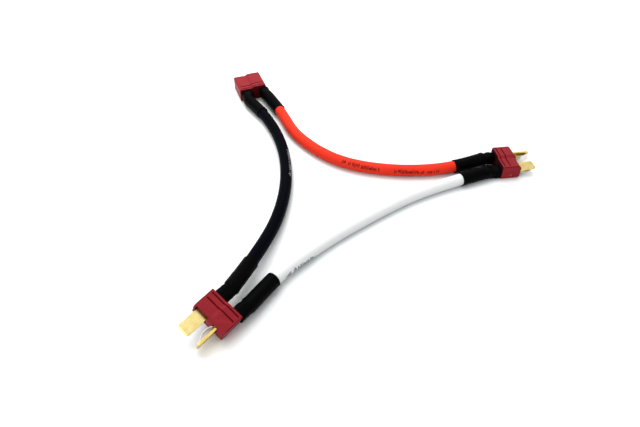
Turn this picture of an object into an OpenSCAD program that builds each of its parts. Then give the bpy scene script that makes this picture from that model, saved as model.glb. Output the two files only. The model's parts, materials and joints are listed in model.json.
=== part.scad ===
// Series battery cable: one socket and two plugs joined in a ring by three silicone wires.
// Two packs push onto the plugs, the load plugs into the socket, and the packs add up in series.
// Lengths are millimetres. The cable lies on the plane z = 0, with its origin under its middle.
// Every housing is drawn with its rear face on y = 0 and its mating face towards +Y.

/* [Housings] */
// Width of a plug or socket housing
housing_w = 15.8; // [15.6:0.1:18]
// Height of the half that holds the flat contact
thin_h = 7.3; // [7:0.1:7.8]
// Height of the half that holds the upright contact
thick_h = 8.2; // [8:0.1:9]
// Length of a plug housing from its rear face to its nose
plug_d = 9.8; // [8.5:0.1:12]
// Length of the socket housing
socket_d = 16; // [14.5:0.1:18]
// Width of the slope between the thin and the thick half
step_w = 1.3; // [0.6:0.1:1.8]
// Bevel above the nose of a plug
nose_bevel = 1.5; // [0.6:0.1:1.8]
// Bevel below the nose of a plug
foot_bevel = 1.2; // [0.4:0.1:1.6]
// Bevel along the other outer edges of a housing
edge_bevel = 0.35; // [0.1:0.05:0.5]
// Diameter of the round gate mark on the thin side of a plug
gate_mark_d = 0.8; // [0.4:0.1:1.2]
// Height of the gate mark above that side
gate_mark_h = 0.1; // [0.05:0.05:0.2]

/* [Grip grooves] */
// Width of each groove across the back of a housing
groove_w = 0.6; // [0.3:0.05:0.8]
// Depth of each groove
groove_deep = 0.5; // [0.2:0.05:0.6]
// Distance from the rear face to the first groove
groove_first = 1.2; // [0.6:0.1:1.5]
// Distance between the two grooves
groove_pitch = 2.65; // [1.5:0.05:3.5]
// Plain edge left at the outer end of each groove
groove_margin = 1; // [0.5:0.1:2]

/* [Contacts] */
// Distance of each contact from the middle of its housing
contact_x = 3.9; // [3.8:0.05:4.1]
// Height of the middle of each contact above the housing's base
contact_z = 3.9; // [3.8:0.05:4]
// Width of a plug blade or a socket strip
blade_w = 5.5; // [5:0.1:5.6]
// Thickness of a plug blade or a socket strip
blade_t = 1; // [0.8:0.05:1.1]
// Length of a blade in front of the nose
blade_out = 8.6; // [7.5:0.1:9.5]
// Cut-off corner at the tip of a blade
blade_corner = 0.8; // [0.3:0.1:1.5]
// Bevel on both faces at the tip of a blade
blade_tip = 0.3; // [0.1:0.05:0.35]
// Width of a solder tab
tab_w = 4; // [3.9:0.1:4.4]
// Length of a solder tab behind its housing
tab_out = 5; // [4.2:0.1:5.4]
// Length of the narrow throat that holds a contact by its shoulders
throat = 1; // [0.6:0.1:1.5]
// Clearance between a contact or a spring and the plastic round it
fit = 0.05; // [0.02:0.01:0.1]

/* [Springs] */
// Width of the leaf spring beside each blade
spring_w = 4.2; // [3:0.1:4.8]
// Thickness of the leaf spring
spring_t = 0.25; // [0.15:0.05:0.35]
// Distance that the spring bows away from its blade
spring_bow = 1.7; // [1:0.1:1.9]
// Length of the spring's tail inside the nose
spring_tail = 3; // [2.4:0.1:4]
// Length of the flat foot at the front of the spring
spring_foot = 0.9; // [0.5:0.1:1.2]

/* [Pockets and slots] */
// Depth of the pocket round each blade in a plug's nose
pocket_deep = 1.6; // [1:0.1:2]
// Room in a pocket or a slot past each edge of a blade
side_room = 0.3; // [0.2:0.05:0.4]
// Room in the pocket above a flat blade
top_room = 2.3; // [0.6:0.1:2.6]
// Room in a pocket past the bowed spring where it leaves the nose
bow_room = 0.1; // [0.05:0.05:0.3]
// Room in a slot for the pressed spring
spring_room = 0.9; // [0.6:0.05:1.1]
// Depth of the two slots in the socket
slot_deep = 10.5; // [9.7:0.1:11.5]
// Distance from the socket's front face back to its strips
strip_back = 1.3; // [0.8:0.1:2]

/* [Wires] */
// Outer diameter of the silicone wires
wire_d = 5.8; // [5:0.1:6.2]
// Diameter of the round copper strands
copper_d = 3; // [2.4:0.1:3.4]
// Distance from a housing back to the end of the copper
copper_gap = 1.2; // [0.8:0.1:1.6]
// Length of bare copper at each end of a wire
bare_len = 5.5; // [5:0.1:6.5]
// Height of the copper where it is pressed flat on its tab
flat_h = 1.7; // [1.4:0.05:2]
// Width of the copper where it is pressed flat on its tab
flat_w = 3.2; // [2.8:0.1:3.2]
// Thickness of the solder round the copper
solder_t = 0.35; // [0.2:0.05:0.35]
// Thickness of the film of solder between a tab and its copper
film = 0.05; // [0.02:0.01:0.1]

/* [Sleeves] */
// Wall of the shrunk sleeves
sleeve_wall = 0.45; // [0.3:0.05:0.6]
// Length of a sleeve
sleeve_len = 22.5; // [18:0.5:26]
// Room between a sleeve's neck and the tab and solder inside it
neck_room = 0.55; // [0.35:0.05:0.65]
// Length of the shoulder between the neck and the round part
shoulder = 0.9; // [0.5:0.1:1]
// Length of round sleeve past the end of the insulation
lip = 0.3; // [0.1:0.1:0.5]

/* [Layout] */
// Place of the socket on the table
socket_at = [-67.9, 78.7];
// Turn of the socket's mating direction from +Y
socket_turn = 20.7; // [10:0.1:30]
// Place of the right-hand plug
right_at = [61.8, 13];
// Turn of the right-hand plug
right_turn = -81.8; // [-90:0.1:-75]
// Place of the left-hand plug
left_at = [-64, -78];
// Turn of the left-hand plug
left_turn = 141.5; // [135:0.1:150]
// Roll of the left-hand plug, which rests on one long edge
left_roll_angle = 24.4; // [15:0.1:30]
// Dip of the left-hand plug's nose
left_dip_angle = 2.8; // [0:0.1:5]

/* [Hidden] */
$fn = 64;

PLASTIC = "crimson";
GOLD = "gold";
SPRING = "silver";
COPPER = "peru";
SOLDER = "gainsboro";
SLEEVE = "black";
RED = "orangered";
BLACK = "midnightblue";
WHITE = "white";

// Past any housing, so that a cut leaves no skin.
over = 1;
// Sides of a wire, its copper and its sleeves, so that they meet face to face.
sides = 12;
// Power that squares the corners of a sleeve's neck.
neck_square = 0.4;
// Share of the solder's depth at its sides, and of its width at its crest.
solder_edge = 0.6;
solder_crest = 0.56;
// Straight steps of a spline between two points of a route.
steps = 8;
// Rings of a wire between its two sleeves.
free_rings = 9;

strip_z = blade_t;
blade_end = plug_d + blade_out;
slot_start = socket_d - slot_deep;
strip_end = socket_d - strip_back;
// The spring's bow is an arc from the pocket's wall to its foot.
spring_wall = plug_d - pocket_deep + fit;
spring_back = spring_wall + spring_t;
spring_front = blade_end - 2 * blade_tip - spring_foot;
spring_half = (spring_front - spring_back) / 2;
spring_middle = spring_back + spring_half;
spring_radius = (spring_half * spring_half + spring_bow * spring_bow) / (2 * spring_bow);
// Depths below a contact's middle of a slot and of a pocket, on the spring's side.
slot_side = blade_t / 2 + spring_t + spring_room;
pocket_side = blade_t / 2 + spring_bow - spring_radius + bow_room
    + sqrt(pow(spring_radius + spring_t, 2) - pow(spring_middle - plug_d, 2));
// Depth under a tab's middle of the copper and of the sleeve's neck.
copper_drop = (blade_t + flat_h) / 2 + film;
neck_drop = (flat_h + solder_t) / 2;
// Distance from a housing back to the end of a wire's insulation.
wire_start = copper_gap + bare_len;
// Length of wire inside each sleeve.
covered = sleeve_len - wire_start;
// Height at which a sleeved wire lies on the table.
resting_z = wire_d / 2 + sleeve_wall + fit;
// Frame of a housing: its place, its turn about +Z, its tip about its own X and its roll about +Y.
socket_frame = [[socket_at[0], socket_at[1], 0], socket_turn, 0, 0];
right_frame = [[right_at[0], right_at[1], 0], right_turn, 0, 0];
left_tilt = [[0, 0, 0], left_turn, -left_dip_angle, -left_roll_angle];
// The tilted plug is lifted until the lowest point of its long edges touches the table.
left_lift = max([for (p = section_points(), y = [0, plug_d - foot_bevel])
    -turned([p[0], y, p[1]], left_tilt)[2]]);
left_frame = [[left_at[0], left_at[1], left_lift], left_turn, -left_dip_angle, -left_roll_angle];

// Points that each wire passes between its ends, laid by hand on the table.
red_route = [[-51, 60.5, 3.4], [-39, 35.5, 3], [-17, 15, 3], [10.5, 8, 3], [39, 10.5, 3.4]];
black_route = [[-60, 56.5, 3.4], [-48.5, 29, 3], [-44.5, 1, 3], [-47, -28, 4], [-55.5, -56, 6.5]];
white_route = [[41, 0.5, 3.4], [16, -11.5, 3], [-6.5, -27, 3], [-28.5, -45, 3.2], [-46, -64, 4.2]];

// End of a wire: its housing's frame, the contact's x, the strip's height, whether it is upright,
// and how far the wire leans away from the housing's middle where its insulation starts, or
// towards it where the number is negative.
socket_flat = [socket_frame, -contact_x, strip_z, false, 0.5];
socket_upright = [socket_frame, contact_x, strip_z, true, 1];
right_flat = [right_frame, contact_x, 0, false, 1.5];
right_upright = [right_frame, -contact_x, 0, true, -1.3];
left_flat = [left_frame, contact_x, 0, false, 0];
left_upright = [left_frame, -contact_x, 0, true, 0.5];

// Turns a direction, or moves a point, from a housing's frame to the table's.
function rolled(v, a) = [v[0] * cos(a) + v[2] * sin(a), v[1], v[2] * cos(a) - v[0] * sin(a)];
function tipped(v, a) = [v[0], v[1] * cos(a) - v[2] * sin(a), v[1] * sin(a) + v[2] * cos(a)];
function swung(v, a) = [v[0] * cos(a) - v[1] * sin(a), v[0] * sin(a) + v[1] * cos(a), v[2]];
function turned(v, frame) = swung(tipped(rolled(v, frame[3]), frame[2]), frame[1]);
function placed(v, frame) = frame[0] + turned(v, frame);

// Centre line at one end of a wire, in its housing's frame, at a depth past the tab's middle.
// Copper lies under a flat tab and on the outer side of an upright one.
function lead(end, y, drop) = end[3]
    ? [end[1] + sign(end[1]) * (end[2] + drop), y, contact_z]
    : [end[1], y, contact_z + end[2] - drop];
// Half width and half height of a ring there, from its size across and its size off the tab.
function lead_size(end, across, off) = end[3] ? [off, across] / 2 : [across, off] / 2;
// Point at which the insulation starts: a flat lead comes down or up to the table.
function insulated(end) = [sign(end[1]) * end[4], 0, 0] + (end[3]
    ? lead(end, -wire_start, copper_drop)
    : [end[1], -wire_start, resting_z]);
function outward(end) = turned([0, -1, 0], end[0]);
function upward(end) = turned([0, 0, 1], end[0]);
function start_point(end) = placed(insulated(end), end[0]);

// Smooth curve through a route. Each end points straight at its neighbour, because a sleeve is
// stiff, and a point between leans towards the nearer of its two neighbours.
function unit(v) = v / norm(v);
function direction(p, i) = let (u = p[i] - p[i - 1], v = p[i + 1] - p[i])
    unit(unit(u) * norm(v) + unit(v) * norm(u));
function between(a, b, da, db, t) = let (d = norm(b - a))
    (2 * t * t * t - 3 * t * t + 1) * a + (t * t * t - 2 * t * t + t) * d * da
    + (3 * t * t - 2 * t * t * t) * b + (t * t * t - t * t) * d * db;
function track(from, route, to) = let (
    p = concat([start_point(from)], route, [start_point(to)]),
    last = len(p) - 1,
    dirs = [for (i = [0 : last]) i == 0 ? unit(p[1] - p[0])
        : i == last ? unit(p[last] - p[last - 1])
        : direction(p, i)]
) concat(
    [for (i = [0 : last - 1], k = [0 : steps - 1])
        between(p[i], p[i + 1], dirs[i], dirs[i + 1], k / steps)],
    [p[last]]);

// Running length of a curve, and its point and direction at any length.
function run(p, i = 0, sum = 0) = i >= len(p) ? []
    : concat([sum], run(p, i + 1, i + 1 < len(p) ? sum + norm(p[i + 1] - p[i]) : sum));
function coordinate(p, s, axis) = [for (i = [0 : len(p) - 1]) [s[i], p[i][axis]]];
function table(p) = let (s = run(p)) [for (axis = [0 : 2]) coordinate(p, s, axis)];
function total(tab) = tab[0][len(tab[0]) - 1][0];
function at(tab, s) = [for (axis = [0 : 2]) lookup(s, tab[axis])];
function heading(tab, s) = unit(at(tab, min(s + 1, total(tab))) - at(tab, max(s - 1, 0)));
function upright(tab, s, from, to) = let (f = s / total(tab)) (1 - f) * upward(from) + f * upward(to);

// One ring: a centre, a direction, an up vector, half sizes and how square its corners are.
function bulge(x, square) = sign(x) * pow(abs(x), square);
function ring(c, dir, up, half, square = 1) = let (
    side = unit(cross(dir, up)),
    top = cross(side, dir)
) [for (k = [0 : sides - 1]) let (a = 360 * k / sides)
    c + side * half[0] * bulge(cos(a), square) + top * half[1] * bulge(sin(a), square)];

// Lengths along a wire at which it has a ring: three in each sleeve, and the free ones between.
function stations(length) = concat(
    [0, covered / 2],
    [for (k = [0 : free_rings]) covered + k * (length - 2 * covered) / free_rings],
    [length - covered / 2, length]);

// Rings of a wire, of either radius, from its first end to its last.
function wire_rings(w, radius, list) = let (tab = table(track(w[0], w[1], w[2]))) [
    for (s = list)
        ring(at(tab, s), heading(tab, s), upright(tab, s, w[0], w[2]), [radius, radius])];
function wire_length(w) = total(table(track(w[0], w[1], w[2])));
// Direction in which a wire leaves one of its ends.
function away_from(w, far) = far
    ? unit(w[1][len(w[1]) - 1] - start_point(w[2]))
    : unit(w[1][0] - start_point(w[0]));

// Rings of the flattened copper on a tab, and of the sleeve's neck, seen from the housing.
function end_ring(end, y, drop, half, square) =
    ring(placed(lead(end, y, drop), end[0]), outward(end), upward(end), half, square);
function flat_rings(end) = let (half = lead_size(end, flat_w, flat_h)) [
    for (y = [-copper_gap, -tab_out]) end_ring(end, y, copper_drop, half, 1)];
function neck_rings(end, along, grow) = let (
    half = lead_size(end, tab_w + 2 * neck_room, blade_t + flat_h + solder_t + 2 * neck_room),
    round_half = wire_d / 2 + grow
) [
    for (y = [0, lip + shoulder - wire_start])
        end_ring(end, y, neck_drop, half + [grow, grow], neck_square),
    ring(start_point(end) - lip * along, along, upward(end), [round_half, round_half])];

// Closed skin over rings: each quad is cut along the same diagonal, so that skins meet.
function flatten(lists) = [for (l = lists, p = l) p];
function skin(a, b) = [for (k = [0 : sides - 1], t = [0, 1]) let (n = (k + 1) % sides)
    t == 0 ? [a + k, a + n, b + k] : [a + n, b + n, b + k]];
function flipped(faces) = [for (f = faces) [f[2], f[1], f[0]]];
function skins(count, first) = [
    for (i = [0 : count - 2]) each skin(first + i * sides, first + (i + 1) * sides)];

// Solid through a list of rings.
module rod(rings) {
    last = (len(rings) - 1) * sides;
    polyhedron(flatten(rings), concat(
        skins(len(rings), 0),
        [[for (k = [sides - 1 : -1 : 0]) k], [for (k = [0 : sides - 1]) last + k]]), convexity = 10);
}

// Tube between outer rings and inner rings.
module tube(outer, inner) {
    size = len(outer) * sides;
    last = size - sides;
    polyhedron(concat(flatten(outer), flatten(inner)), concat(
        skins(len(outer), 0),
        flipped(skins(len(inner), size)),
        flipped(skin(0, size)),
        skin(last, last + size)), convexity = 10);
}

red = [socket_upright, red_route, right_upright];
black = [socket_flat, black_route, left_flat];
white = [right_flat, white_route, left_upright];

module wire(w, tint) {
    list = stations(wire_length(w));
    color(tint) tube(wire_rings(w, wire_d / 2, list), wire_rings(w, copper_d / 2, list));
}

module copper(w) {
    middle = wire_rings(w, copper_d / 2, stations(wire_length(w)));
    far = flat_rings(w[2]);
    // The far end's rings are seen from the other housing, so each runs the other way round.
    color(COPPER) rod(concat(flat_rings(w[0]), middle, [turned_back(far[1]), turned_back(far[0])]));
}

// A ring seen from the other side: its first point moves half a turn and its order is reversed.
function turned_back(points) = [for (k = [0 : sides - 1]) points[(sides / 2 - k + sides) % sides]];

// Sleeve over one end of a wire. Its inside is the wire's own rings past the shoulder.
module sleeve(w, far) {
    end = far ? w[2] : w[0];
    length = wire_length(w);
    list = [0, covered / 2, covered];
    along = far ? [for (s = list) length - s] : list;
    outer = wire_rings(w, wire_d / 2 + sleeve_wall, along);
    inner = wire_rings(w, wire_d / 2, along);
    away = away_from(w, far);
    color(SLEEVE) tube(
        concat(neck_rings(end, away, sleeve_wall), far ? [for (r = outer) turned_back(r)] : outer),
        concat(neck_rings(end, away, 0), far ? [for (r = inner) turned_back(r)] : inner));
}

// Solder that fills the corner between a tab and its copper.
module solder(w, far) {
    end = far ? w[2] : w[0];
    width = flat_w + 2 * solder_t;
    deep = flat_h + solder_t;
    length = tab_out - copper_gap - 2 * solder_t;
    color(SOLDER) difference() {
        in_frame(end[0]) at_contact(end) translate([0, -copper_gap - solder_t, -blade_t / 2])
            rotate([90, 0, 0]) linear_extrude(length)
                polygon([
                    [-width / 2, 0], [width / 2, 0], [width / 2, -solder_edge * deep],
                    [solder_crest * width / 2, -deep], [-solder_crest * width / 2, -deep],
                    [-width / 2, -solder_edge * deep]]);
        copper(w);
    }
}

module in_frame(frame) translate(frame[0]) rotate([0, 0, frame[1]]) rotate([frame[2], 0, 0])
    rotate([0, frame[3], 0]) children();

// Frame of a tab's middle at the rear face, with its copper towards -Z.
module at_contact(end) {
    side = sign(end[1]);
    if (end[3]) translate([end[1] + side * end[2], 0, contact_z]) rotate([0, -90 * side, 0]) children();
    else translate([end[1], 0, contact_z + end[2]]) children();
}

// Frame of a contact in which its mating blade has its spring towards -Z.
module at_mate(end) {
    side = sign(end[1]);
    if (end[3]) translate([end[1], 0, contact_z]) rotate([0, 90 * side, 0]) children();
    else translate([end[1], 0, contact_z]) children();
}

// Outline of a housing from behind: the thin half lies at +X and the thick half at -X.
function section_points() = let (w = housing_w / 2, b = edge_bevel, s = step_w / 2) [
    [b - w, 0], [w - b, 0], [w, b], [w, thin_h - b], [w - b, thin_h],
    [s, thin_h], [-s, thick_h], [b - w, thick_h], [-w, thick_h - b], [-w, b]];

module forward(d) translate([0, d, 0]) rotate([90, 0, 0]) linear_extrude(d) children();
module across(w) rotate([90, 0, 90]) linear_extrude(w, center = true) children();

// Grip grooves over both heights of the back, which stop short of the sides.
module grooves() {
    reach = housing_w / 2 - groove_margin;
    for (k = [0, 1]) translate([0, groove_first + k * groove_pitch + groove_w / 2, 0])
        rotate([90, 0, 0]) linear_extrude(groove_w) polygon([
            [-reach, thick_h + over], [-reach, thick_h - groove_deep],
            [-step_w / 2, thick_h - groove_deep], [step_w / 2, thin_h - groove_deep],
            [reach, thin_h - groove_deep], [reach, thick_h + over]]);
}

// Box between two corners.
module block(low, high) translate(low) cube(high - low);

// Space that a contact takes inside a housing of a given length.
module contact_way(length, z) {
    low = z - blade_t / 2 - fit;
    high = z + blade_t / 2 + fit;
    block([-tab_w / 2 - fit, -over, low], [tab_w / 2 + fit, length, high]);
    block([-blade_w / 2 - fit, throat - fit, low], [blade_w / 2 + fit, length, high]);
}

// Front bevels of one half, cut off along the whole width between two sides.
module nose_cut(x_low, x_high, top) {
    b = nose_bevel;
    f = foot_bevel;
    translate([(x_low + x_high) / 2, 0, 0]) across(x_high - x_low) {
        polygon([
            [plug_d - b - over, top + over], [plug_d + over, top + over],
            [plug_d + over, top - b - over]]);
        polygon([[plug_d - f - over, -over], [plug_d + over, f + over], [plug_d + over, -over]]);
    }
}

// Side bevels of a front face at a given depth.
module front_corners(d) {
    b = edge_bevel;
    w = housing_w / 2;
    for (side = [-1, 1]) translate([0, 0, -over]) linear_extrude(thick_h + 2 * over)
        polygon([[side * w + side * over, d - b - over], [side * w + side * over, d + over],
            [side * w - side * (b + over), d + over]]);
}

module plug_housing(flat_end, upright_end) {
    w = housing_w / 2;
    color(PLASTIC) difference() {
        union() {
            forward(plug_d) polygon(section_points());
            translate([w - over, plug_d / 2, contact_z / 2]) rotate([0, 90, 0])
                cylinder(d = gate_mark_d, h = over + gate_mark_h);
        }
        nose_cut(-w - over, 0, thick_h);
        nose_cut(0, w + over, thin_h);
        front_corners(plug_d);
        grooves();
        for (end = [flat_end, upright_end]) at_mate(end) {
            contact_way(plug_d + over, end[2]);
            block([-blade_w / 2 - side_room, plug_d - pocket_deep, -pocket_side],
                [blade_w / 2 + side_room, plug_d + over, blade_t / 2 + (end[3] ? side_room : top_room)]);
            block([-spring_w / 2 - fit, plug_d - spring_tail - fit, -blade_t / 2 - spring_t - fit],
                [spring_w / 2 + fit, plug_d, 0]);
        }
    }
}

module socket_housing() {
    color(PLASTIC) difference() {
        mirror([1, 0, 0]) difference() {
            forward(socket_d) polygon(section_points());
            front_corners(socket_d);
            grooves();
        }
        for (end = [socket_flat, socket_upright]) at_mate(end) {
            contact_way(strip_end, strip_z);
            block([-blade_w / 2 - side_room, slot_start, -slot_side],
                [blade_w / 2 + side_room, socket_d + over, strip_z + blade_t / 2 + fit]);
        }
    }
}

// Flat contact with a solder tab, shoulders behind the throat and a bevelled tip.
module contact(length, corner, z) {
    w = blade_w / 2;
    t = blade_t / 2;
    b = blade_tip;
    color(GOLD) translate([0, 0, z]) intersection() {
        translate([0, 0, -t]) linear_extrude(blade_t) polygon([
            [-tab_w / 2, -tab_out], [tab_w / 2, -tab_out], [tab_w / 2, throat], [w, throat],
            [w, length - corner], [w - corner, length], [corner - w, length], [-w, length - corner],
            [-w, throat], [-tab_w / 2, throat]]);
        across(blade_w + over) polygon([
            [-tab_out, -t], [length - 2 * b, -t], [length, b - t], [length, t - b],
            [length - 2 * b, t], [-tab_out, t]]);
    }
}

// Leaf spring: a tail in the nose, a bow along the blade and a foot near its tip.
module spring() {
    low = -blade_t / 2 - spring_t;
    color(SPRING) across(spring_w) {
        translate([plug_d - spring_tail, low]) square([spring_back - plug_d + spring_tail, spring_t]);
        translate([spring_front, low]) square([spring_foot, spring_t]);
        intersection() {
            translate([spring_middle, spring_radius - spring_bow - blade_t / 2]) difference() {
                circle(spring_radius + spring_t);
                circle(spring_radius);
            }
            translate([spring_wall, low - spring_bow - over])
                square([2 * (spring_half + spring_t), spring_bow + spring_t + over]);
        }
    }
}

module plug(frame, flat_end, upright_end, part) in_frame(frame) {
    if (part == "housing") plug_housing(flat_end, upright_end);
    if (part == "flat blade") at_mate(flat_end) contact(blade_end, blade_corner, 0);
    if (part == "upright blade") at_mate(upright_end) contact(blade_end, blade_corner, 0);
    if (part == "flat spring") at_mate(flat_end) spring();
    if (part == "upright spring") at_mate(upright_end) spring();
}

module right_plug(part) plug(right_frame, right_flat, right_upright, part);
module left_plug(part) plug(left_frame, left_flat, left_upright, part);
module socket_contact(end) in_frame(socket_frame) at_mate(end) contact(strip_end, blade_tip, strip_z);

in_frame(socket_frame) socket_housing();
socket_contact(socket_upright);  // socket_upright_contact
socket_contact(socket_flat);  // socket_flat_contact
right_plug("housing");  // right_plug_housing
right_plug("upright blade");  // right_plug_upright_blade
right_plug("flat blade");  // right_plug_flat_blade
right_plug("upright spring");  // right_plug_upright_spring
right_plug("flat spring");  // right_plug_flat_spring
left_plug("housing");  // left_plug_housing
left_plug("upright blade");  // left_plug_upright_blade
left_plug("flat blade");  // left_plug_flat_blade
left_plug("upright spring");  // left_plug_upright_spring
left_plug("flat spring");  // left_plug_flat_spring
wire(red, RED);  // red_wire
wire(black, BLACK);  // black_wire
wire(white, WHITE);  // white_wire
copper(red);  // red_copper
copper(black);  // black_copper
copper(white);  // white_copper
sleeve(red, false);  // socket_red_sleeve
sleeve(black, false);  // socket_black_sleeve
sleeve(red, true);  // right_red_sleeve
sleeve(white, false);  // right_white_sleeve
sleeve(black, true);  // left_black_sleeve
sleeve(white, true);  // left_white_sleeve
solder(red, false);  // socket_red_solder
solder(black, false);  // socket_black_solder
solder(red, true);  // right_red_solder
solder(white, false);  // right_white_solder
solder(black, true);  // left_black_solder
solder(white, true);  // left_white_solder
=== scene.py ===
import json
import math
from collections import namedtuple
import bmesh
import bpy
import numpy as np
from mathutils import Matrix, Vector


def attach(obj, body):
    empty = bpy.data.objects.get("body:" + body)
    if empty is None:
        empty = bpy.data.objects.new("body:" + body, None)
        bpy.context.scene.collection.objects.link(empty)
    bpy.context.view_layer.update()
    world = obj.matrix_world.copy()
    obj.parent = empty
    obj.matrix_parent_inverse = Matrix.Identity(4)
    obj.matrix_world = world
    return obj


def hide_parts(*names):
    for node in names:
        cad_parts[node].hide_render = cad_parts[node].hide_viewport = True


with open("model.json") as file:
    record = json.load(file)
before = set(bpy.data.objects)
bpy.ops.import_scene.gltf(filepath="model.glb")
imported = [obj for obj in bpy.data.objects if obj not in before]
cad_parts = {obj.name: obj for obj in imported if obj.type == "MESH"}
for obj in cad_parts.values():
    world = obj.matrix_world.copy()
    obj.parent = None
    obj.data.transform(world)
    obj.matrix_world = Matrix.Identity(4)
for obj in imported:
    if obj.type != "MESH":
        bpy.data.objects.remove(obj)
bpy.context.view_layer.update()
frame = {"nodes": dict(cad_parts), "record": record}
nodes = frame["nodes"]
scene = bpy.context.scene

# Lengths are millimetres, as in part.scad, where nothing else is said. MM makes them metres.
MM = 0.001

# ---------------------------------------------------------------- camera
# The photograph's camera, found from the corners of the housings and blades.
CAMERA_AT = (-27.6, -200.1, 171.58)
TILT, ROLL = math.radians(43.745), math.radians(0.436)
LENS, SENSOR_WIDTH = 29.87, 36

ahead = Vector((0, math.cos(TILT), -math.sin(TILT)))
over = Vector((0, math.sin(TILT), math.cos(TILT)))
right = math.cos(ROLL) * Vector((1, 0, 0)) + math.sin(ROLL) * over
up = math.cos(ROLL) * over - math.sin(ROLL) * Vector((1, 0, 0))
camera = bpy.data.objects.new("camera", bpy.data.cameras.new("camera"))
scene.collection.objects.link(camera)
camera.data.lens = LENS
camera.data.sensor_width = SENSOR_WIDTH
camera.data.clip_start = 0.01
camera.matrix_world = Matrix((
    (right[0], up[0], -ahead[0], CAMERA_AT[0] * MM),
    (right[1], up[1], -ahead[1], CAMERA_AT[1] * MM),
    (right[2], up[2], -ahead[2], CAMERA_AT[2] * MM),
    (0, 0, 0, 1)))
scene.camera = camera

# ---------------------------------------------------------------- the CAD's layout and sizes
# A housing's own frame has its origin at the foot of the rear face, with x across, y towards the
# mating face and z up. Each is placed by a point, a turn about z, a tip about x and a roll about y.
SOCKET = ((-67.9, 78.7, 0), 20.7, 0, 0)
RIGHT = ((61.8, 13, 0), -81.8, 0, 0)
LEFT = ((-64, -78, 3.5353), 141.5, -2.8, -24.4)

SOCKET_LENGTH, PLUG_LENGTH = 16, 9.8
HALF_WIDTH = 7.9
NOSE_BEVEL = 1.5
# The top's height half-way up the step, and half of the step's rise and of its width.
MIDDLE_TOP, HALF_RISE, HALF_STEP = 7.75, 0.45, 0.65
# Middle of the gate mark on a plug's thin side, and the radii in metres between which it fades.
GATE_MARK, GATE_FADE = (8, 4.9, 1.95), (0.0004, 0.0008)
# Middle of a contact, across and up.
CONTACT_X, CONTACT_Z = 3.9, 3.9

# Where a wire's insulation starts behind a housing, and its middle's height there.
WIRE_START, RESTING = 6.7, 3.4
# How far the middle of the copper and of a sleeve's neck lie from the middle of the contact.
COPPER_DROP, NECK_DROP = 1.4, 1.025
WIRE_R, BORE_R = 2.9, 1.52
SLEEVE_LENGTH, SLEEVE_R, SLEEVE_WALL = 22.5, 3.35, 0.4


def matrix(place):
    at, turn, tip, roll = place
    return (Matrix.Translation(Vector(at)) @ Matrix.Rotation(math.radians(turn), 4, "Z")
            @ Matrix.Rotation(math.radians(tip), 4, "X")
            @ Matrix.Rotation(math.radians(roll), 4, "Y"))


class End:
    """One end of a wire.
    place: the housing's; x: the contact's; strip: how far its tab stands off its middle; stands:
    whether it is the upright one; lean: how far out to the side the wire starts."""

    def __init__(self, place, x, strip, stands, lean):
        self.m = np.array(matrix(place))
        self.x, self.strip, self.stands, self.lean = x, strip, stands, lean
        self.sign = 1 if x > 0 else -1
        self.upward = self.m[:3, 2]

    def place(self, p):
        return self.m[:3, :3] @ np.array(p, float) + self.m[:3, 3]

    def lead(self, y, drop):
        """The point at y that lies off the tab by drop, in the housing's frame."""
        if self.stands:
            return np.array((self.x + self.sign * (self.strip + drop), y, CONTACT_Z))
        return np.array((self.x, y, CONTACT_Z + self.strip - drop))

    def start(self):
        """Where the wire's insulation starts."""
        if self.stands:
            p = self.lead(-WIRE_START, COPPER_DROP)
        else:
            p = np.array((self.x, -WIRE_START, RESTING))
        return self.place(p + np.array((self.sign * self.lean, 0, 0)))


socket_flat = End(SOCKET, -CONTACT_X, 1, False, 0.5)
socket_upright = End(SOCKET, CONTACT_X, 1, True, 1)
right_flat = End(RIGHT, CONTACT_X, 0, False, 1.5)
right_upright = End(RIGHT, -CONTACT_X, 0, True, -1.3)
left_flat = End(LEFT, CONTACT_X, 0, False, 0)
left_upright = End(LEFT, -CONTACT_X, 0, True, 0.5)

ROUTES = {
    "red": (
        socket_upright,
        [(-51, 60.5, 3.4), (-39, 35.5, 3), (-17, 15, 3), (10.5, 8, 3), (39, 10.5, 3.4)],
        right_upright),
    "black": (
        socket_flat,
        [(-60, 56.5, 3.4), (-48.5, 29, 3), (-44.5, 1, 3), (-47, -28, 4), (-55.5, -56, 6.5)],
        left_flat),
    "white": (
        right_flat,
        [(41, 0.5, 3.4), (16, -11.5, 3), (-6.5, -27, 3), (-28.5, -45, 3.2), (-46, -64, 4.2)],
        left_upright)}
STEPS_PER_SPAN = 40


def unit(v):
    return v / np.linalg.norm(v)


def smooth(x):
    x = np.clip(x, 0, 1)
    return x * x * (3 - 2 * x)


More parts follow.
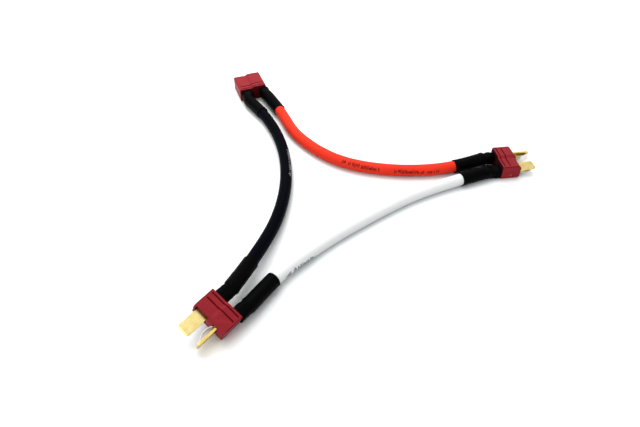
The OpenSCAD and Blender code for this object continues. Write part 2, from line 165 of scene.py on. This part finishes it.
class Track:
    """The smooth middle line of a wire, by its running length."""

    def __init__(self, first, route, last):
        p = [first.start()] + [np.array(q, float) for q in route] + [last.start()]
        d = [unit(p[1] - p[0])]
        for i in range(1, len(p) - 1):
            u, v = p[i] - p[i - 1], p[i + 1] - p[i]
            d.append(unit(unit(u) * np.linalg.norm(v) + unit(v) * np.linalg.norm(u)))
        d.append(unit(p[-1] - p[-2]))
        line = []
        for i in range(len(p) - 1):
            chord = np.linalg.norm(p[i + 1] - p[i])
            for t in np.arange(STEPS_PER_SPAN) / STEPS_PER_SPAN:
                line.append((2 * t**3 - 3 * t**2 + 1) * p[i]
                            + (t**3 - 2 * t**2 + t) * chord * d[i]
                            + (3 * t**2 - 2 * t**3) * p[i + 1]
                            + (t**3 - t**2) * chord * d[i + 1])
        line.append(p[-1])
        self.line = np.array(line)
        steps = np.linalg.norm(np.diff(self.line, axis=0), axis=1)
        self.s = np.concatenate([[0], np.cumsum(steps)])
        self.length = self.s[-1]
        self.first, self.last, self.ends = first, last, (d[0], d[-1])

    def at(self, s):
        """Points at running lengths s; the line goes on straight past both ends."""
        s = np.asarray(s, float)
        p = np.stack([np.interp(s, self.s, self.line[:, k]) for k in range(3)], -1)
        p = p - np.maximum(-s, 0)[..., None] * self.ends[0]
        return p + np.maximum(s - self.length, 0)[..., None] * self.ends[1]


tracks = {name: Track(*route) for name, route in ROUTES.items()}


# ---------------------------------------------------------------- materials
class Nodes:
    """A short way to write the node tree of a material or a world."""

    def __init__(self, owner, shader="Principled BSDF"):
        owner.use_nodes = True
        self.owner, self.tree = owner, owner.node_tree
        self.shader = self.tree.nodes[shader]

    def set(self, **values):
        for key, value in values.items():
            self.shader.inputs[key.replace("_", " ")].default_value = value

    def add(self, kind, links=None, **settings):
        node = self.tree.nodes.new(kind)
        for key, value in settings.items():
            setattr(node, key, value)
        for key, value in (links or {}).items():
            socket = node.inputs[key]
            if isinstance(value, bpy.types.NodeSocket):
                self.tree.links.new(value, socket)
            else:
                socket.default_value = value
        return node

    def link(self, out, key):
        self.tree.links.new(out, self.shader.inputs[key])

    def math(self, operation, a, b=0.0, clamp=False):
        return self.add("ShaderNodeMath", {0: a, 1: b}, operation=operation,
                        use_clamp=clamp).outputs[0]

    def times(self, first, *others):
        for other in others:
            first = self.math("MULTIPLY", first, other)
        return first

    def scaled(self, out, scale):
        return self.add("ShaderNodeVectorMath", {0: out, 1: scale}, operation="MULTIPLY").outputs[0]

    def distance(self, a, b):
        return self.add("ShaderNodeVectorMath", {0: a, 1: b}, operation="DISTANCE").outputs["Value"]

    def place(self):
        return self.add("ShaderNodeTexCoord").outputs["Object"]

    def uv(self):
        return self.add("ShaderNodeUVMap", uv_map="UVMap").outputs[0]

    def noise(self, vector, scale, detail=3.0, rough=0.55, distortion=0.0):
        return self.add("ShaderNodeTexNoise", {
            "Vector": vector, "Scale": scale, "Detail": detail, "Roughness": rough,
            "Distortion": distortion}).outputs["Fac"]

    def map(self, value, a, b, c, d):
        """value from a to b becomes c to d, and stays within them."""
        return self.add("ShaderNodeMapRange", {"Value": value, 1: a, 2: b, 3: c, 4: d}).outputs[0]

    def mix(self, fac, a, b):
        a, b = [(*c, 1) if isinstance(c, tuple) else c for c in (a, b)]
        # Sockets 6 and 7 are the two colours, and output 2 is the mixed one.
        return self.add("ShaderNodeMix", {0: fac, 6: a, 7: b}, data_type="RGBA").outputs[2]

    def bump(self, *heights):
        """Heights are pairs of an output and a depth in metres."""
        normal = None
        for out, depth in heights:
            links = {"Height": out, "Distance": depth, "Strength": 1.0}
            if normal is not None:
                links["Normal"] = normal
            normal = self.add("ShaderNodeBump", links).outputs[0]
        self.link(normal, "Normal")


def new_material(name):
    return Nodes(bpy.data.materials.new(name))


# Print on a wire: its colour, half its height in turns round the wire, and its runs. A run has its
# start and end along the wire, and its angle at both, in degrees: 0 is the side and 90 the top.
Marks = namedtuple("Marks", "colour height runs")
RED_MARKS = Marks((0.10, 0.003, 0.002), 0.070, [(76, 95, 45, 26), (102, 124, 28, 5)])
BLACK_MARKS = Marks((0.30, 0.31, 0.32), 0.06, [(55, 76, 140, 142)])
WHITE_MARKS = Marks((0.02, 0.02, 0.025), 0.090, [(103, 121.5, 202, 185)])
# The print is a row of cells with one tick in each. A cell whose random number is below
# EMPTY_CELLS stays empty. Shares of the print's height: the spread of levels and the lowest tick.
CELLS_PER_MM, EMPTY_CELLS = 1.55, 0.15
LEVELS, LOWEST_TICK = 0.6, 0.45
# Shares of a cell: the widest tick and the narrowest one.
WIDEST_TICK, NARROWEST_TICK = 0.92, 0.5


def ticks(n, base, marks, wear):
    """base with plain printed ticks over it: short bars of uneven width, height and level."""
    uv = n.add("ShaderNodeSeparateXYZ", {0: n.uv()})
    along, around = uv.outputs[0], uv.outputs[1]
    cell = n.math("MULTIPLY", along, CELLS_PER_MM)
    number = n.math("FLOOR", cell)
    chance = n.add("ShaderNodeTexWhiteNoise", {"W": number}, noise_dimensions="1D").outputs["Value"]
    across = n.math("FRACT", cell)
    for start, end, first, last in marks.runs:
        inside = n.times(n.math("GREATER_THAN", along, start), n.math("LESS_THAN", along, end))
        middle = n.map(along, start, end, first / 360, last / 360)
        other = n.math("FRACT", n.math("MULTIPLY", chance, 7))
        level = n.math("MULTIPLY", n.math("SUBTRACT", other, 0.5), LEVELS * marks.height)
        off = n.math("SUBTRACT", n.math("SUBTRACT", around, middle), level)
        tall = n.map(chance, EMPTY_CELLS, 1, LOWEST_TICK * marks.height, marks.height)
        band = n.math("LESS_THAN", n.math("ABSOLUTE", off), tall)
        wide = n.map(chance, 0, 1, WIDEST_TICK, NARROWEST_TICK)
        bar = n.times(n.math("GREATER_THAN", chance, EMPTY_CELLS),
                      n.math("LESS_THAN", across, wide))
        worn = n.map(wear, 0.36, 0.55, 0.7, 1)
        fac = n.math("MULTIPLY", n.times(inside, band), n.times(bar, worn), clamp=True)
        base = n.mix(fac, base, marks.colour)
    return base


def silicone(name, colour, shade, rough, gloss, marks):
    """Satin silicone with faint swirls between colour and shade, and its print."""
    n = new_material(name)
    place = n.place()
    broad = n.noise(place, 60, 3)
    fine = n.noise(place, 900, 4)
    base = n.mix(n.map(broad, 0.3, 0.7, 0, 1), shade, colour)
    n.link(ticks(n, base, marks, fine), "Base Color")
    n.link(n.map(broad, 0.3, 0.7, rough - 0.05, rough + 0.06), "Roughness")
    n.bump((broad, 0.00010), (fine, 0.000006))
    n.set(Specular_IOR_Level=gloss)
    return n.owner


def black_sleeve():
    """Shrunk black film."""
    n = new_material("black_sleeve")
    place = n.place()
    broad = n.noise(place, 110, 3)
    fine = n.noise(place, 1500, 4)
    n.link(n.mix(n.map(fine, 0.35, 0.75, 0, 1), (0.0007, 0.0007, 0.0008),
                 (0.0026, 0.0026, 0.0030)), "Base Color")
    n.link(n.map(broad, 0.3, 0.7, 0.32, 0.46), "Roughness")
    n.bump((broad, 0.00020), (fine, 0.000008))
    n.set(Specular_IOR_Level=0.02)
    return n.owner


def nylon():
    """Moulded red nylon: fine spark-eroded grain, faint flow marks, and painted shade: darker in
    its grooves, pockets and slots and on the rear face between the sleeves, where shade falls. Each
    face's own number, deep, is 0 outside, 0.5 in the grooves, pockets and slots, and up to 1 on the
    rear face."""
    n = new_material("red_plastic")
    place = n.place()
    flow = n.noise(n.scaled(place, (1, 2.4, 1)), 130, 3, 0.5, 0.6)
    grain = n.noise(place, 2600, 3, 0.6)
    # deep: each face's share of painted shade, set on the housings' faces.
    deep = n.add("ShaderNodeAttribute", attribute_name="deep",
                 attribute_type="GEOMETRY").outputs["Fac"]
    base = n.mix(n.map(flow, 0.3, 0.7, 0, 1), (0.270, 0.0115, 0.0190), (0.335, 0.0160, 0.0245))
    # Painted shade: the grooves, pockets and slots get a darker red, and the rear face between two
    # black sleeves a darker one still, though the nylon is the same red there.
    base = n.mix(n.map(deep, 0, 0.5, 0, 1), base, (0.20, 0.0012, 0.0038))
    base = n.mix(n.map(deep, 0.5, 1, 0, 1), base, (0.030, 0.0006, 0.0016))
    # The gate mark low on one side of each plug is paler.
    gate = 0.0
    for plug in (RIGHT, LEFT):
        away = n.distance(place, matrix(plug) @ Vector(GATE_MARK) * MM)
        gate = n.math("ADD", n.map(away, *GATE_FADE, 1, 0), gate)
    n.link(n.mix(gate, base, (0.50, 0.070, 0.100)), "Base Color")
    dull = n.map(deep, 0, 0.5, 0, 0.4)
    n.link(n.math("ADD", n.map(grain, 0.3, 0.7, 0.38, 0.50), dull), "Roughness")
    n.bump((flow, 0.00003), (grain, 0.000008))
    n.set(Specular_IOR_Level=0.14)
    return n.owner


def metal(name, dark, pale, low, high):
    """Metal with fine lines along it and softer patches of handling, from dark to pale.
    low and high: the roughness between and on the lines."""
    n = new_material(name)
    lines = n.noise(n.scaled(n.uv(), (5, 0.25, 1)), 1.0, 4, 0.6)
    patches = n.noise(n.place(), 300, 2, 0.5, 0.3)
    n.link(n.mix(n.map(patches, 0.3, 0.72, 0, 1), dark, pale), "Base Color")
    n.link(n.map(lines, 0.3, 0.7, low, high), "Roughness")
    n.bump((patches, 0.00002), (lines, 0.000008))
    n.set(Metallic=1.0)
    return n.owner


def strands():
    """Copper: fine twisted strands."""
    n = new_material("copper_strands")
    wave = n.add("ShaderNodeTexWave", {
        "Vector": n.place(), "Scale": 900.0, "Distortion": 3.0, "Detail": 2.0}).outputs["Fac"]
    n.link(n.mix(wave, (0.42, 0.15, 0.07), (0.80, 0.38, 0.22)), "Base Color")
    n.bump((wave, 0.00008))
    n.set(Metallic=1.0, Roughness=0.35)
    return n.owner


finish_of = {
    "red_silicone": silicone("red_silicone", (0.95, 0.042, 0.016), (0.86, 0.032, 0.011),
                             0.46, 0.12, RED_MARKS),
    "black_silicone": silicone("black_silicone", (0.0022, 0.0028, 0.0054),
                               (0.0014, 0.0019, 0.0040), 0.42, 0.012, BLACK_MARKS),
    "white_silicone": silicone("white_silicone", (0.97, 0.98, 0.98), (0.95, 0.96, 0.96),
                               0.42, 0.3, WHITE_MARKS),
    "red_plastic": nylon(),
    "gilded_contact": metal("gilded_contact", (0.75, 0.575, 0.17), (0.86, 0.71, 0.32), 0.20, 0.34),
    "spring_steel": metal("spring_steel", (0.88, 0.88, 0.89), (0.97, 0.97, 0.97), 0.14, 0.24),
    "copper_strands": strands(),
    "black_sleeve": black_sleeve(),
    "solder": metal("solder", (0.55, 0.56, 0.58), (0.70, 0.71, 0.73), 0.25, 0.42)}
# A second, darker and deeper gold for the upright blades: painted shade, as the same plating
# catches less light on them than on the flat blades.
gilding_with_painted_shade = metal("gilding_with_painted_shade", (0.78, 0.55, 0.11), (0.91, 0.69, 0.19), 0.20, 0.34)
slot_of = {p["node"]: p["material_slot"] for p in frame["record"]["subparts"]}


def finish(node):
    # The upright blades take the gold with painted shade.
    return gilding_with_painted_shade if node.endswith("upright_blade") else finish_of[slot_of[node]]


for name, obj in nodes.items():
    obj.data.materials.clear()
    obj.data.materials.append(finish(name))


# ---------------------------------------------------------------- meshes
def place_mesh(name, mesh, material):
    mesh.materials.append(material)
    obj = bpy.data.objects.new(name, mesh)
    scene.collection.objects.link(obj)
    return obj


def basis(centres, upward):
    """Directions beside and above a line, by its points."""
    along = np.gradient(centres, axis=0)
    along /= np.linalg.norm(along, axis=1)[:, None]
    side = np.cross(along, upward)
    side /= np.linalg.norm(side, axis=1)[:, None]
    return side, np.cross(side, along)


def angles(count):
    return np.arange(count) / count * 2 * math.pi


def spokes(a, side, top):
    """Directions at the angles a round each point of a line."""
    return (np.cos(a)[None, :, None] * side[:, None, :]
            + np.sin(a)[None, :, None] * top[:, None, :])


def loft(name, rings, stations, material, inside_out=False):
    """A closed skin through rings, the last of which joins the first. Its uvs are a ring's
    station, and the share of a turn round it."""
    count, sides = rings.shape[:2]
    faces, uvs = [], []
    for i in range(count):
        j = (i + 1) % count
        for k in range(sides):
            m = (k + 1) % sides
            face = (i * sides + k, i * sides + m, j * sides + m, j * sides + k)
            v, w = k / sides, (k + 1) / sides
            corners = [(stations[i], v), (stations[i], w), (stations[j], w), (stations[j], v)]
            faces.append(face[::-1] if inside_out else face)
            uvs += corners[::-1] if inside_out else corners
    mesh = bpy.data.meshes.new(name)
    mesh.from_pydata((rings.reshape(-1, 3) * MM).tolist(), [], faces)
    layer = mesh.uv_layers.new(name="UVMap")
    layer.data.foreach_set("uv", np.asarray(uvs, float).ravel())
    mesh.polygons.foreach_set("use_smooth", [True] * len(mesh.polygons))
    mesh.validate()
    return place_mesh(name, mesh, material)


# ---------------------------------------------------------------- wires
WIRE_RINGS, WIRE_SIDES = 260, 40
ROUTE_POINTS = 36
# The insulation is a little uneven, by this share of its radius.
UNEVEN = 0.004
# Under the sleeves its ends are squeezed by this share, over this length.
SQUEEZE, SQUEEZE_LENGTH = 0.3, 3


def wire(name):
    """The whole wire: a tube of silicone round its copper, open at both ends in the sleeves."""
    t = tracks[name]
    s = np.linspace(0, t.length, WIRE_RINGS)
    centres = t.at(s)
    ring = spokes(angles(WIRE_SIDES), *basis(centres, np.array((0, 0, 1.0))))
    swell = 1 + UNEVEN * np.sin(s * 0.9 + 1.3) * np.sin(s * 0.23)
    swell -= SQUEEZE * (np.exp(-(s / SQUEEZE_LENGTH)**2)
                        + np.exp(-((t.length - s) / SQUEEZE_LENGTH)**2))
    outer = centres[:, None, :] + ring * WIRE_R * swell[:, None, None]
    inner = centres[:, None, :] + ring * BORE_R
    obj = loft(name + "_silicone", np.concatenate([outer, inner[::-1]]),
               np.concatenate([s, s[::-1]]), finish_of[name + "_silicone"])
    path = t.at(np.linspace(0, t.length, ROUTE_POINTS)) * MM
    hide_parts(name + "_wire")
    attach(obj, "root")


wire("red")
wire("black")
wire("white")

# ---------------------------------------------------------------- sleeves
SLEEVE_RINGS, MOUTH_RINGS, SLEEVE_SIDES = 170, 6, 72
# The inside has one ring for this many outside.
INNER_STEP = 3
# The first ring is this far off the housing, and the mouth's rings lie in the last MOUTH.
GAP, MOUTH = 0.02, 0.5
# Over this length, from this distance on, the middle line goes over from the tab to the wire.
CROSSING, CROSSING_FROM = 6, 2.5
# Power of the neck's squared section; a round one has 2.
NECK_POWER = 3.2
# Random waves: how many, how high in the body and in the folds by the shoulder, and the range of
# their phases. The folds are strongest FOLDS_PAST the neck and fade over FOLDS_LENGTH.
WAVES, BODY_WAVE, FOLD_WAVE, PHASES = 9, 0.012, 0.04, 6.28
FOLDS_PAST, FOLDS_LENGTH = 0.3, 2.2
# How far a crease wanders as it goes round.
WANDER = 0.15
FLARE, FLARE_LENGTH = 0.06, 0.8
MOUTH_ROUNDING = 0.16
LEAST_WALL = 0.12
# Room between the sleeve and the insulation in it.
FIT = 0.01
# Lowest heights above the table outside and inside.
OUTER_FLOOR, INNER_FLOOR = 0.02, 0.3


def sleeve_middle(s, track, far, shift):
    """The sleeve's middle line, which follows the tab at first and then the wire."""
    end = track.last if far else track.first
    arc = s - WIRE_START
    on_wire = track.at(track.length - arc) if far else track.at(arc)
    move = np.array((end.sign * shift[0], 0, shift[1]))
    on_tab = np.array([end.place(end.lead(-v, NECK_DROP) + move) for v in s])
    c = smooth((s - CROSSING_FROM) / CROSSING)[:, None]
    return on_tab * (1 - c) + on_wire * c


def sleeve_radius(s, a, b, half, shoulder, crease, bumps, seed):
    """The skin's distance from the middle line, for each ring and angle. b goes from 0 on the
    neck, which has the half sizes half, to 1 on the round body."""
    n = (NECK_POWER * (1 - b) + 2 * b)[:, None]
    hx = (half[0] * (1 - b) + SLEEVE_R * b)[:, None]
    hz = (half[1] * (1 - b) + SLEEVE_R * b)[:, None]
    r = (np.abs(np.cos(a)[None] / hx)**n + np.abs(np.sin(a)[None] / hz)**n) ** (-1 / n)
    rng = np.random.default_rng(seed)
    # Long shallow dents in the body, and tighter folds where the sleeve was drawn down to the tab.
    fold = np.exp(-((s - shoulder - FOLDS_PAST) / FOLDS_LENGTH)**2)[:, None]
    for _ in range(WAVES):
        k, m, p, q = rng.uniform(0.2, 0.7), rng.integers(1, 4), *rng.uniform(0, PHASES, 2)
        r = r + (1 - fold) * BODY_WAVE * np.sin(k * s[:, None] + p) * np.sin(m * a[None] + q)
        k, m, p, q = rng.uniform(1.4, 3.2), rng.integers(2, 7), *rng.uniform(0, PHASES, 2)
        r = r + fold * FOLD_WAVE * np.sin(k * s[:, None] + p) * np.sin(m * a[None] + q)
    at, deep, wide, slant = crease
    folded = (s[:, None] - at - slant * np.sin(a + seed)[None]
              - WANDER * np.sin(3 * a + 2 * seed)[None])
    r = (r - deep * np.exp(-(folded / wide)**2)
         + 0.5 * deep * np.exp(-((folded - 2 * wide) / wide)**2))
    for at, angle, along, wide, height in bumps:
        d = np.angle(np.exp(1j * (a - math.radians(angle))))
        r = r + (height * np.exp(-((s - at) / along)[:, None]**2)
                 * np.exp(-(d / math.radians(wide))[None]**2))
    return r + FLARE * np.exp(-((SLEEVE_LENGTH - s) / FLARE_LENGTH)**2)[:, None]


def sleeve(name, colour, far, neck, crease, seed, shoulder=(4.4, 6.2), shift=(0, 0), bumps=()):
    """A shrink sleeve from the housing's back over the joint and on to the insulation.
    colour: of the wire; far: whether it sits at the wire's last end; neck: half sizes across and
    off the tab; shoulder: where it widens; shift: of the neck, outward and up; crease: a fold all
    round, by its distance from the housing, depth, half width and slant;
    bumps: (distance from the housing, angle, size along, size round in degrees, height)."""
    track = tracks[colour]
    end = track.last if far else track.first
    body = SLEEVE_LENGTH - MOUTH
    s = np.concatenate([
        np.linspace(GAP, body, SLEEVE_RINGS),
        SLEEVE_LENGTH - MOUTH * np.cos(np.linspace(0, math.pi / 2, MOUTH_RINGS + 1))[1:]])
    a = angles(SLEEVE_SIDES)
    b = smooth((s - shoulder[0]) / (shoulder[1] - shoulder[0]))
    centres = sleeve_middle(s, track, far, shift)
    half = neck[::-1] if end.stands else neck
    r = sleeve_radius(s, a, b, half, shoulder[0], crease, bumps, seed)
    # The mouth's edge is rounded.
    edge = np.clip((s - (SLEEVE_LENGTH - MOUTH_ROUNDING)) / MOUTH_ROUNDING, 0, 1)
    out = r - MOUTH_ROUNDING * (1 - np.sqrt(1 - edge**2))[:, None]
    # The inside keeps a wall in the neck and lies on the insulation in the body.
    inside = (r - SLEEVE_WALL) * (1 - b)[:, None] + (WIRE_R + FIT) * b[:, None]
    inside = np.minimum(inside, out - LEAST_WALL)
    ring = spokes(a, *basis(centres, end.upward))
    outer = centres[:, None, :] + ring * out[:, :, None]
    inner = (centres[:, None, :] + ring * inside[:, :, None])[::-INNER_STEP]
    # Nothing sinks through the table.
    outer[:, :, 2] = np.maximum(outer[:, :, 2], OUTER_FLOOR)
    inner[:, :, 2] = np.maximum(inner[:, :, 2], INNER_FLOOR)
    obj = loft(name + "_skin", np.concatenate([outer, inner]),
               np.concatenate([s, s[::-INNER_STEP]]), finish_of["black_sleeve"], inside_out=far)
    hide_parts(name)
    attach(obj, "root")


sleeve("socket_red_sleeve", "red", False, neck=(3.1, 2.9), shift=(0.6, 0), seed=3,
       crease=(4.6, 0.18, 0.7, 0.6), bumps=((3.0, 20, 1.0, 50, 0.30),))
sleeve("socket_black_sleeve", "black", False, neck=(3.4, 2.8), shoulder=(2.2, 5.0), seed=5,
       crease=(3.6, 0.12, 0.7, 0.4))
sleeve("right_red_sleeve", "red", True, neck=(2.75, 2.5), shift=(-0.3, -0.2),
       shoulder=(4.6, 5.8), seed=7, crease=(4.9, 0.22, 0.6, 0.3),
       bumps=((2.6, 90, 1.0, 70, 0.40), (4.9, 90, 0.6, 60, -0.20)))
sleeve("right_white_sleeve", "white", False, neck=(3.4, 2.7), shift=(0.75, -0.45),
       shoulder=(4.6, 9.5), seed=11, crease=(4.2, 0.18, 0.6, -0.8),
       bumps=((5.6, 100, 2.8, 40, -0.50), (3.2, 40, 0.6, 40, 0.16)))
sleeve("left_black_sleeve", "black", True, neck=(3.15, 2.9), seed=13,
       crease=(5.6, 0.20, 0.7, -0.7))
sleeve("left_white_sleeve", "white", True, neck=(3.1, 3.2), shift=(0.7, 0),
       shoulder=(4.0, 5.6), seed=17, crease=(4.8, 0.16, 0.7, 0.5))

# ---------------------------------------------------------------- housings and contacts
# Widths of the softened edges.
HOUSING_EASE, CONTACT_EASE, SPRING_EASE = 0.12, 0.06, 0.03
EASE_SEGMENTS = 3
# Edges sharper than this are softened. A spring's bow is made of flats, so there only sharper ones.
SHARP, SPRING_SHARP = math.radians(25), math.radians(40)
# An edge that is sharper than this after the softening shows as a crease.
CREASE = math.radians(35)
# Points closer than this, in metres, are merged, and so are faces that turn by less than this.
SAME_POINT, SAME_FACE = 2e-6, math.radians(0.6)
# The outside of a housing: past these in x and z, or this near to its front or rear face.
SIDE_FROM, FOOT_TO, TOP_FROM, FRONT_WITHIN, REAR_WITHIN = 7.3, 0.5, 6.95, 0.5, 0.2
# The painted shade on the rear face keeps this far from the sides and foot, and from the top.
REAR_EDGE, REAR_TOP_EDGE = 0.2, 0.15
# How far in front of a face to look for the space that it faces.
PROBE = 0.2


def dressed(node, place, width, chosen, sharp=SHARP, painted_shade=None):
    """A copy of a CAD solid with its chosen edges eased, which stands for it.
    Its uvs are millimetres across and along; recess tells how much painted shade a face gets, by
    its middle and its normal."""
    bm = bmesh.new()
    bm.from_mesh(nodes[node].data)
    bmesh.ops.remove_doubles(bm, verts=bm.verts, dist=SAME_POINT)
    bmesh.ops.dissolve_limit(bm, angle_limit=SAME_FACE, verts=bm.verts, edges=bm.edges)
    back = matrix(place).inverted()

    def local(point):
        return back @ (point / MM)

    edges = [e for e in bm.edges if len(e.link_faces) == 2 and e.calc_face_angle(0) >= sharp
             and all(chosen(local(v.co)) for v in e.verts)]
    bmesh.ops.bevel(bm, geom=edges, offset=width * MM, segments=EASE_SEGMENTS, profile=0.5,
                    affect="EDGES", clamp_overlap=True, loop_slide=True)
    uv = bm.loops.layers.uv.new("UVMap")
    # Each face's share of painted shade, which the nylon reads.
    deep = bm.faces.layers.float.new("deep")
    for f in bm.faces:
        f.smooth = True
        for loop in f.loops:
            p = local(loop.vert.co)
            loop[uv].uv = (p.x + p.z, p.y)
        if painted_shade is not None:
            f[deep] = painted_shade(local(f.calc_center_median()), back.to_3x3() @ f.normal)
    for e in bm.edges:
        e.smooth = len(e.link_faces) == 2 and e.calc_face_angle(0) < CREASE
    mesh = bpy.data.meshes.new(node + "_eased")
    bm.to_mesh(mesh)
    bm.free()
    obj = place_mesh(node + "_eased", mesh, finish(node))
    obj.modifiers.new("normals", "WEIGHTED_NORMAL").keep_sharp = True
    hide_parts(node)
    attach(obj, "root")


def anywhere(p):
    return True


def on_housing(length):
    """Tells the points on the outside of a housing from those deeper in it."""
    def test(p):
        return (abs(p.x) > SIDE_FROM or p.z < FOOT_TO or p.z > TOP_FROM
                or p.y > length - FRONT_WITHIN or p.y < REAR_WITHIN)
    return test


def painted_shade_of_housing(length, nose, side, rear=1.0):
    """Each face's share of painted shade: 0.5 in the grooves, pockets and slots, 0 outside.
    nose: the bevel above it; side: where the thin half is, 1 for +x; rear: the painted shade on the
    rear face."""
    def test(middle, normal):
        p = middle + normal * PROBE
        top = MIDDLE_TOP + HALF_RISE * max(-1, min(1, -side * p.x / HALF_STEP))
        if (p.y < 0 and abs(p.x) < HALF_WIDTH - REAR_EDGE
                and REAR_EDGE < p.z < top - REAR_TOP_EDGE):
            return rear
        within = (abs(p.x) < HALF_WIDTH and 0 < p.y < length and 0 < p.z < top
                  and p.y + p.z < length + top - nose)
        return 0.5 if within else 0.0
    return test


# The housings get painted shade in their grooves, pockets and slots and on their rear faces.
dressed("socket_housing", SOCKET, HOUSING_EASE, on_housing(SOCKET_LENGTH),
        painted_shade=painted_shade_of_housing(SOCKET_LENGTH, 0, -1, 0.8))
for side, place in (("right", RIGHT), ("left", LEFT)):
    dressed(side + "_plug_housing", place, HOUSING_EASE, on_housing(PLUG_LENGTH),
            painted_shade=painted_shade_of_housing(PLUG_LENGTH, NOSE_BEVEL, 1))
for side, place in (("right", RIGHT), ("left", LEFT)):
    for way in ("flat", "upright"):
        dressed(side + "_plug_" + way + "_blade", place, CONTACT_EASE, anywhere)
        dressed(side + "_plug_" + way + "_spring", place, SPRING_EASE, anywhere, SPRING_SHARP)
for way in ("flat", "upright"):
    dressed("socket_" + way + "_contact", SOCKET, CONTACT_EASE, anywhere)

# ---------------------------------------------------------------- stage
# In metres: half the floor's side, how far it lies under the cable, and how far its painted shade
# reaches.
FLOOR_HALF, FLOOR_DROP, PAINTED_SHADE_REACH = 3, 0.00005, 0.004
# The floor's colour to the camera, the painted shade it shows the camera close under the cable, its
# colour in shiny parts, and to the rest.
TABLE, TABLE_PAINTED_SHADE = (1.19, 1.23, 1.225), (0.66, 0.70, 0.705)
TABLE_MIRRORED, TABLE_LIT = (0.92, 0.92, 0.92), (0.57, 0.58, 0.58)
# The world is white to the camera, at strength 1, and lights the cable by this much.
WORLD_LIGHT = 0.58

floor_mesh = bpy.data.meshes.new("floor")
floor_mesh.from_pydata([(x * FLOOR_HALF, y * FLOOR_HALF, -FLOOR_DROP)
                        for x, y in ((-1, -1), (1, -1), (1, 1), (-1, 1))], [], [(0, 1, 2, 3)])
table = new_material("floor")
table.set(Roughness=0.9, Specular_IOR_Level=0.1)
rays = table.add("ShaderNodeLightPath")
# Painted shade: to the camera the floor turns darker close under the cable, by how hemmed in it is
# there.
open_sky = table.add("ShaderNodeAmbientOcclusion", {"Distance": PAINTED_SHADE_REACH},
                     samples=12).outputs["AO"]
seen = table.mix(table.map(open_sky, 0.1, 0.8, 0, 1), TABLE_PAINTED_SHADE, TABLE)
unseen = table.mix(rays.outputs["Is Glossy Ray"], TABLE_LIT, TABLE_MIRRORED)
table.link(table.mix(rays.outputs["Is Camera Ray"], unseen, seen), "Base Color")
place_mesh("floor", floor_mesh, table.owner)

sky = Nodes(bpy.data.worlds.new("world"), "Background")
scene.world = sky.owner
sky.set(Color=(1, 1, 1, 1))
rays = sky.add("ShaderNodeLightPath")
direction = sky.add("ShaderNodeSeparateXYZ",
                    {0: sky.add("ShaderNodeTexCoord").outputs["Generated"]})
# Shiny surfaces see it a little darker towards the horizon.
mirrored = sky.math("MULTIPLY", rays.outputs["Is Glossy Ray"],
                    sky.map(direction.outputs["Z"], 0.42, 0.88, 0.20, 1))
shown = sky.math("MAXIMUM", rays.outputs["Is Camera Ray"], mirrored)
sky.link(sky.map(shown, 0, 1, WORLD_LIGHT, 1), "Strength")


# ---------------------------------------------------------------- light
def lamp(name, kind, at, power, towards=None, **settings):
    """A lamp at a point, in metres, which shines in a direction, or else at the cable's middle."""
    if towards is None:
        towards = -Vector(at)
    data = bpy.data.lights.new(name, kind)
    data.energy = power
    for key, value in settings.items():
        setattr(data, key, value)
    obj = bpy.data.objects.new(name, data)
    scene.collection.objects.link(obj)
    obj.location = Vector(at)
    obj.rotation_euler = Vector(towards).to_track_quat("-Z", "Y").to_euler()
    return obj


# Two far lights, soft because they look this wide, and a small one nearer to the socket.
SOFT = math.radians(50)
lamp("key", "SUN", (-0.10, 0.45, 1.0), 1.30, angle=SOFT)
lamp("fill", "SUN", (-0.6, -0.75, 0.55), 0.68, angle=SOFT)
near = lamp("near", "SPOT", (-0.12, 0.22, 0.22), 2.8, towards=(0.05, -0.135, -0.22),
            shadow_soft_size=0.1, spot_size=math.radians(36), spot_blend=0.8)
near.visible_glossy = False

scene.view_settings.view_transform = "Standard"
